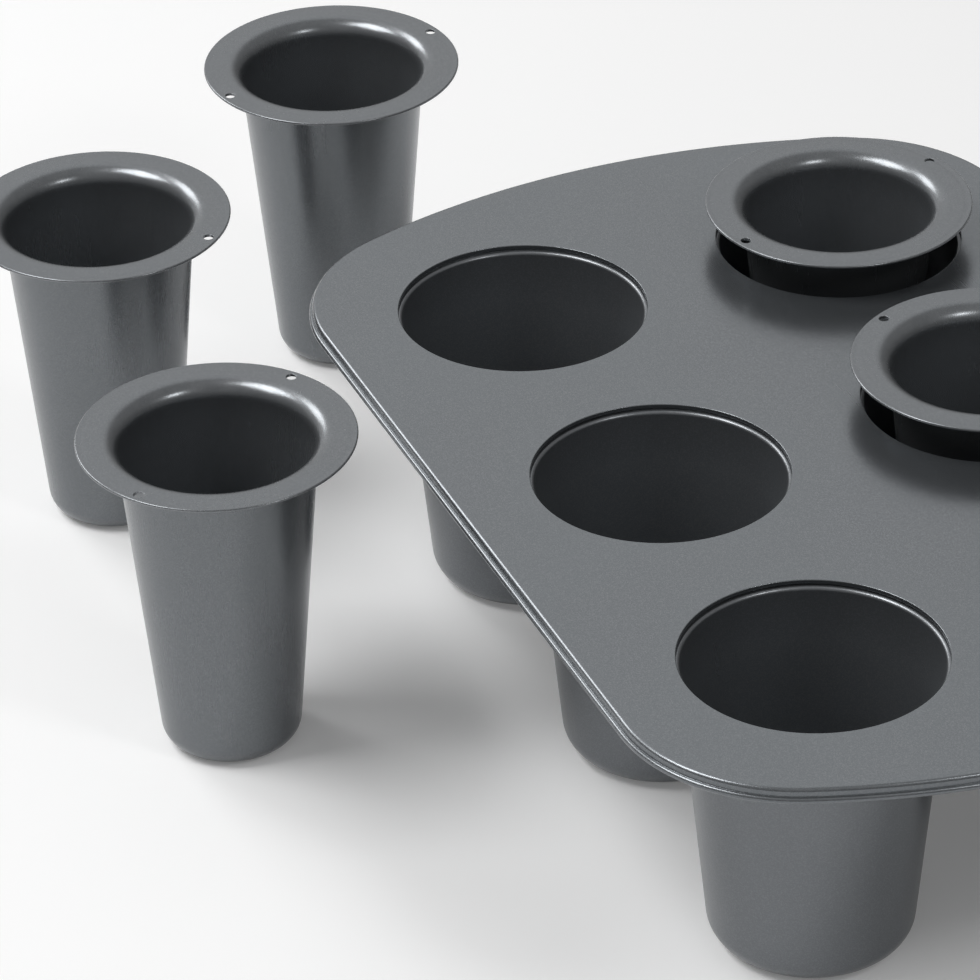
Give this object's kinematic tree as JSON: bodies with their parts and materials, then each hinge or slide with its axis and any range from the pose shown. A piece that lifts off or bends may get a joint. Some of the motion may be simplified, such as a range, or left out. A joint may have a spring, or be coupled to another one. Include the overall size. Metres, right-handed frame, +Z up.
{
  "type": "cookie shot glass mould",
  "caption": "Sheet-steel baking mould: a flat pan with deep tapered cavities, and flanged inserts that lift out and shape the hollow of each cookie cup.",
  "frame": {"origin": "middle of the whole set's footprint, on the surface that the pan and the standing inserts stand on", "axes": "+X along the pan's rows of cavities, +Y across the pan towards the row that holds inserts, +Z up"},
  "size_m": [0.3582, 0.2448, 0.0791],
  "materials": {
    "deck_coating": "satin dark grey non-stick coating",
    "cup_coating": "satin dark grey non-stick coating",
    "insert_coating": "satin dark grey non-stick coating"
  },
  "bodies": {
    "pan": {"deck": "deck_coating", "cavity_cup_1": "cup_coating", "cavity_cup_2": "cup_coating", "cavity_cup_3": "cup_coating", "cavity_cup_4": "cup_coating", "cavity_cup_5": "cup_coating", "cavity_cup_6": "cup_coating"},
    "loose_insert_1": {"insert_1": "insert_coating"},
    "loose_insert_2": {"insert_2": "insert_coating"},
    "loose_insert_3": {"insert_3": "insert_coating"},
    "loose_insert_4": {"insert_4": "insert_coating"},
    "loose_insert_5": {"insert_5": "insert_coating"},
    "loose_insert_6": {"insert_6": "insert_coating"}
  },
  "joints": [
    {"name": "insert_1_lift", "type": "slide", "parent": "pan", "child": "loose_insert_1", "axis": [0, 0, 1], "range_m": [0, 0.085]},
    {"name": "insert_2_lift", "type": "slide", "parent": "pan", "child": "loose_insert_2", "axis": [0, 0, 1], "range_m": [0, 0.085]},
    {"name": "insert_3_lift", "type": "slide", "parent": "pan", "child": "loose_insert_3", "axis": [0, 0, 1], "range_m": [0, 0.085]},
    {"name": "insert_4_lift", "type": "slide", "parent": "pan", "child": "loose_insert_4", "axis": [0, 0, 1], "range_m": [0, 0.085]},
    {"name": "insert_5_lift", "type": "slide", "parent": "pan", "child": "loose_insert_5", "axis": [0, 0, 1], "range_m": [0, 0.085]},
    {"name": "insert_6_lift", "type": "slide", "parent": "pan", "child": "loose_insert_6", "axis": [0, 0, 1], "range_m": [0, 0.085]}
  ]
}
